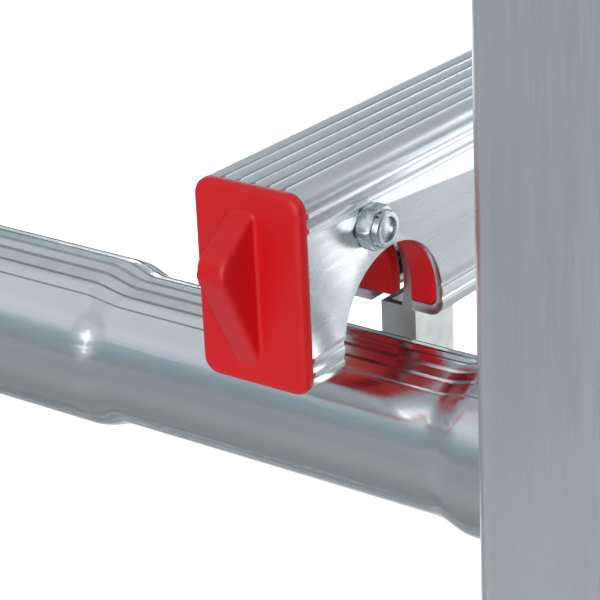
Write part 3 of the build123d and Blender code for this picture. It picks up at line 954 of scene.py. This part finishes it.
@dataclass
class Buffers:
    """Rubber wall buffers with rings moulded into the face."""

    material: bpy.types.Material
    rings: int = 4
    ring_step: float = 0.0035
    ring_depth: float = 0.0016

    def build(self) -> None:
        """Make both buffers."""
        low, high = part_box("wall_buffer_right")
        radius = (high.x - low.x) / 2
        centre = Vector(((low.x + high.x) / 2, low.y, (low.z + high.z) / 2))
        disc = Bench.rod("Y", radius, centre, high.y - low.y, 96)
        Bench.open(disc, "EDGE")
        Bench.edges(disc, lambda mid, way: mid.y > high.y - 0.0001)
        bpy.ops.mesh.bevel(offset=0.0022, segments=4, affect="EDGES")
        bpy.ops.mesh.select_mode(type="FACE")
        Bench.faces(disc, lambda mid, normal: normal.y > 0.99)
        for k in range(self.rings):
            bpy.ops.mesh.inset(thickness=self.ring_step, depth=0.0)
            down = -self.ring_depth if k % 2 == 0 else self.ring_depth
            bpy.ops.mesh.inset(thickness=0.0005, depth=down)
        Bench.faces(disc, lambda mid, normal: normal.y < -0.99)
        bpy.ops.mesh.inset(thickness=0.004, depth=0.0)
        Bench.close()
        other = Bench.reflect(disc)
        for thing, side in ((disc, "right"), (other, "left")):
            node = "wall_buffer_" + side
            hand_in(thing, "ringed_" + node, self.material,
                    Place("stand_off", (node,), "black_rubber"), 40.0)


@dataclass(frozen=True)
class SoftEdge:
    """A machined or moulded piece whose edges are rounded, in its CAD node's shape.

    Attributes:
        node: The CAD node.
        body: The body it rides on.
        slot: The record's slot.
        width: How wide the rounding is, in metres; 0 keeps the edges sharp.
        segments: Steps of the rounding.
    """

    node: str
    body: str
    slot: str
    width: float = 0.0004
    segments: int = 2

    def build(self, material: bpy.types.Material) -> None:
        """Make the piece."""
        thing = Bench.cad_copy(self.node)
        if self.width > 0.0:
            Bench.round_edges(thing, self.width, self.segments)
        hand_in(thing, "edged_" + self.node, material,
                Place(self.body, (self.node,), self.slot), 30.0)


# ---- studio ---------------------------------------------------------------------------
@dataclass(frozen=True)
class Lamp:
    """A soft rectangular area light."""

    name: str
    place: tuple[float, float, float]
    target: tuple[float, float, float]
    size: tuple[float, float]
    power: float

    def hang(self) -> None:
        """Add the light, aimed at its target."""
        data = bpy.data.lights.new(self.name, "AREA")
        data.shape = "RECTANGLE"
        data.size, data.size_y = self.size
        data.energy = self.power
        lamp = bpy.data.objects.new(self.name, data)
        aim = Vector(self.target) - Vector(self.place)
        lamp.matrix_world = (Matrix.Translation(self.place)
                             @ aim.to_track_quat("-Z", "Y").to_matrix().to_4x4())
        lamp.visible_camera = False
        bpy.context.scene.collection.objects.link(lamp)


SKY_STOPS = (
    (0.00, (0.24, 0.27, 0.29)), (0.22, (0.25, 0.34, 0.37)), (0.40, (0.42, 0.48, 0.54)),
    (0.56, (0.52, 0.56, 0.60)), (0.64, (0.47, 0.49, 0.51)), (0.76, (0.47, 0.49, 0.51)),
    (1.00, (0.55, 0.58, 0.60)))


@dataclass
class Studio:
    """The floor, the soft lights and the camera.

    Attributes:
        arm_corner: The near arm's outer, front, lower corner, in metres.
        stand: The camera's place from that corner.
        yaw: The camera's turn from +Y, in degrees, positive to the right.
        pitch: The camera's tilt, in degrees.
        roll: The camera's roll, in degrees.
        lens: Focal length for a 36 mm sensor, in millimetres.
    """

    arm_corner: Vector
    stand: tuple[float, float, float] = (0.2615, -0.3375, 0.2006)
    yaw: float = -37.84
    pitch: float = -22.88
    roll: float = -2.68
    lens: float = 151.8

    def place_camera(self) -> None:
        """Create the camera and make it the scene's camera."""
        yaw, pitch, roll = (math.radians(a) for a in (self.yaw, self.pitch, self.roll))
        ahead = Vector((math.sin(yaw) * math.cos(pitch), math.cos(yaw) * math.cos(pitch),
                        math.sin(pitch)))
        right = ahead.cross(Vector((0.0, 0.0, 1.0))).normalized()
        up = right.cross(ahead)
        turned_right = right * math.cos(roll) + up * math.sin(roll)
        turned_up = up * math.cos(roll) - right * math.sin(roll)
        turn = Matrix((turned_right, turned_up, -ahead)).transposed().to_4x4()
        data = bpy.data.cameras.new("camera")
        data.sensor_width = 36.0
        data.lens = self.lens
        data.clip_start = 0.01
        data.clip_end = 100.0
        camera = bpy.data.objects.new("camera", data)
        camera.matrix_world = Matrix.Translation(self.arm_corner + Vector(self.stand)) @ turn
        bpy.context.scene.collection.objects.link(camera)
        bpy.context.scene.camera = camera

    def lay_floor(self) -> None:
        """A plain pale floor."""
        bpy.ops.object.select_all(action="DESELECT")
        bpy.ops.mesh.primitive_plane_add(size=60.0, location=(0.0, 0.0, 0.0))
        floor = bpy.context.active_object
        floor.name = "floor"
        sheet = NodeSheet.fresh("floor")
        sheet.set(Base_Color=(0.66, 0.66, 0.66, 1.0), Roughness=0.9)
        floor.data.materials.append(sheet.material)

    def light(self) -> None:
        """Soft area lights and a pale sky."""
        for lamp in (
                Lamp("key", (-2.2, -1.5, 5.2), (0.1, 0.0, 2.5), (3.0, 3.0), 3.0),
                Lamp("side", (3.6, 4.6, 1.6), (0.1, 0.0, 2.5), (5.0, 3.0), 62.0),
                Lamp("front", (1.4, -3.4, 3.6), (0.1, 0.0, 2.5), (3.0, 2.4), 80.0),
                Lamp("rim", (1.3, 2.4, 4.4), (0.1, 0.0, 2.5), (1.2, 1.2), 9.0),
                Lamp("rear_floor", (-4.6, 6.2, 3.2), (-4.4, 6.0, 0.0), (5.0, 5.0), 420.0)):
            lamp.hang()
        self.hang_sky()
        bpy.context.scene.view_settings.view_transform = "Standard"

    def hang_sky(self) -> None:
        """A soft sky, dim at the horizon and brightest halfway up."""
        world = bpy.data.worlds.new("sky")
        world.use_nodes = True
        tree = world.node_tree
        way = tree.nodes.new("ShaderNodeTexCoord").outputs["Generated"]
        parts = tree.nodes.new("ShaderNodeSeparateXYZ")
        ramp = tree.nodes.new("ShaderNodeValToRGB")
        tree.links.new(way, parts.inputs["Vector"])
        tree.links.new(parts.outputs["Z"], ramp.inputs["Fac"])
        tree.links.new(ramp.outputs["Color"], tree.nodes["Background"].inputs["Color"])
        bands = ramp.color_ramp.elements
        while len(bands) < len(SKY_STOPS):
            bands.new(0.5)
        for band, (height, colour) in zip(bands, SKY_STOPS):
            band.position = height
            band.color = (*colour, 1.0)
        bpy.context.scene.world = world

    def build(self) -> None:
        """Set up the whole studio."""
        self.place_camera()
        self.lay_floor()
        self.light()


# Name, body, slot, rounding and its steps. A rounding of 0 keeps the edges sharp.
SOFT_EDGES = (
    ("arm", "stand_off", "arm_aluminium", 0.00025, 2),
    ("saddle", "stand_off", "red_plastic", 0.0004, 3),
    ("latch", "latch", "galvanised_steel", 0.0, 0),
    ("latch_bolt", "stand_off", "zinc_fasteners", 0.0003, 2),
    ("stay_leg", "stand_off", "arm_aluminium", 0.0003, 2),
    ("stay_pad", "stand_off", "black_rubber", 0.0015, 3),
    ("rung_hook", "rung_hook", "galvanised_steel", 0.0006, 3),
    ("rung_hook_bracket", "fly_section", "galvanised_steel", 0.0006, 3),
    ("rung_hook_pin", "fly_section", "zinc_fasteners", 0.0006, 3),
    ("upper_guide", "base_section", "guide_aluminium", 0.0006, 3),
    ("lower_guide", "fly_section", "guide_aluminium", 0.0006, 3),
    ("base_top_cap", "base_section", "dark_plastic", 0.0012, 4),
    ("fly_top_cap", "fly_section", "dark_plastic", 0.0012, 4),
    ("fly_foot_cap", "fly_section", "dark_plastic", 0.0012, 4),
    ("foot_bolt", "base_section", "zinc_fasteners", 0.0006, 3),
    ("foot_nut", "base_section", "zinc_fasteners", 0.0006, 3),
    ("foot_shoe", "foot", "galvanised_steel", 0.0008, 3),
    ("foot_pad", "foot", "black_rubber", 0.0008, 3))

SINGLE_EDGES = (
    ("wall_bar", "stand_off", "arm_aluminium", 0.0003, 2),
    ("stay_bar", "stand_off", "arm_aluminium", 0.0003, 2),
    ("wall_bar_caps", "stand_off", "red_plastic", 0.0012, 4),
    ("wall_bar_screws", "stand_off", "zinc_fasteners", 0.0006, 3),
    ("rung_hook_rivets", "fly_section", "zinc_fasteners", 0.0009, 4),
    ("upper_guide_rivets", "base_section", "zinc_fasteners", 0.0009, 4),
    ("lower_guide_rivets", "fly_section", "zinc_fasteners", 0.0009, 4))


def soft_edges() -> Iterable[SoftEdge]:
    """Every piece that keeps its CAD shape with rounded edges.

    Returns:
        The pieces, both hands of each pair.
    """
    pieces = []
    for name, body, slot, width, segments in SOFT_EDGES:
        for side in SIDES:
            own = body if body.endswith(("section", "stand_off")) else f"{body}_{side}"
            pieces.append(SoftEdge(f"{name}_{side}", own, slot, width, segments))
    for name, body, slot, width, segments in SINGLE_EDGES:
        pieces.append(SoftEdge(name, body, slot, width, segments))
    return pieces


def main() -> None:
    """Build the looks in order."""
    logging.basicConfig(level=logging.INFO, format="%(name)s: %(message)s")
    finishes = Finishes.make()
    low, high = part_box("arm_right")
    studio = Studio(Vector((high.x, low.y - EndPlug.plate, low.z)))
    studio.build()
    for piece in soft_edges():
        piece.build(finishes.of_slot(piece))
    Rungs(finishes.rung).build()
    Stiles(finishes.upright).build()
    EndPlug(finishes.red).build()
    LockNut(finishes.zinc).build()
    Buffers(finishes.rubber).build()


if __name__ == "__main__":
    main()
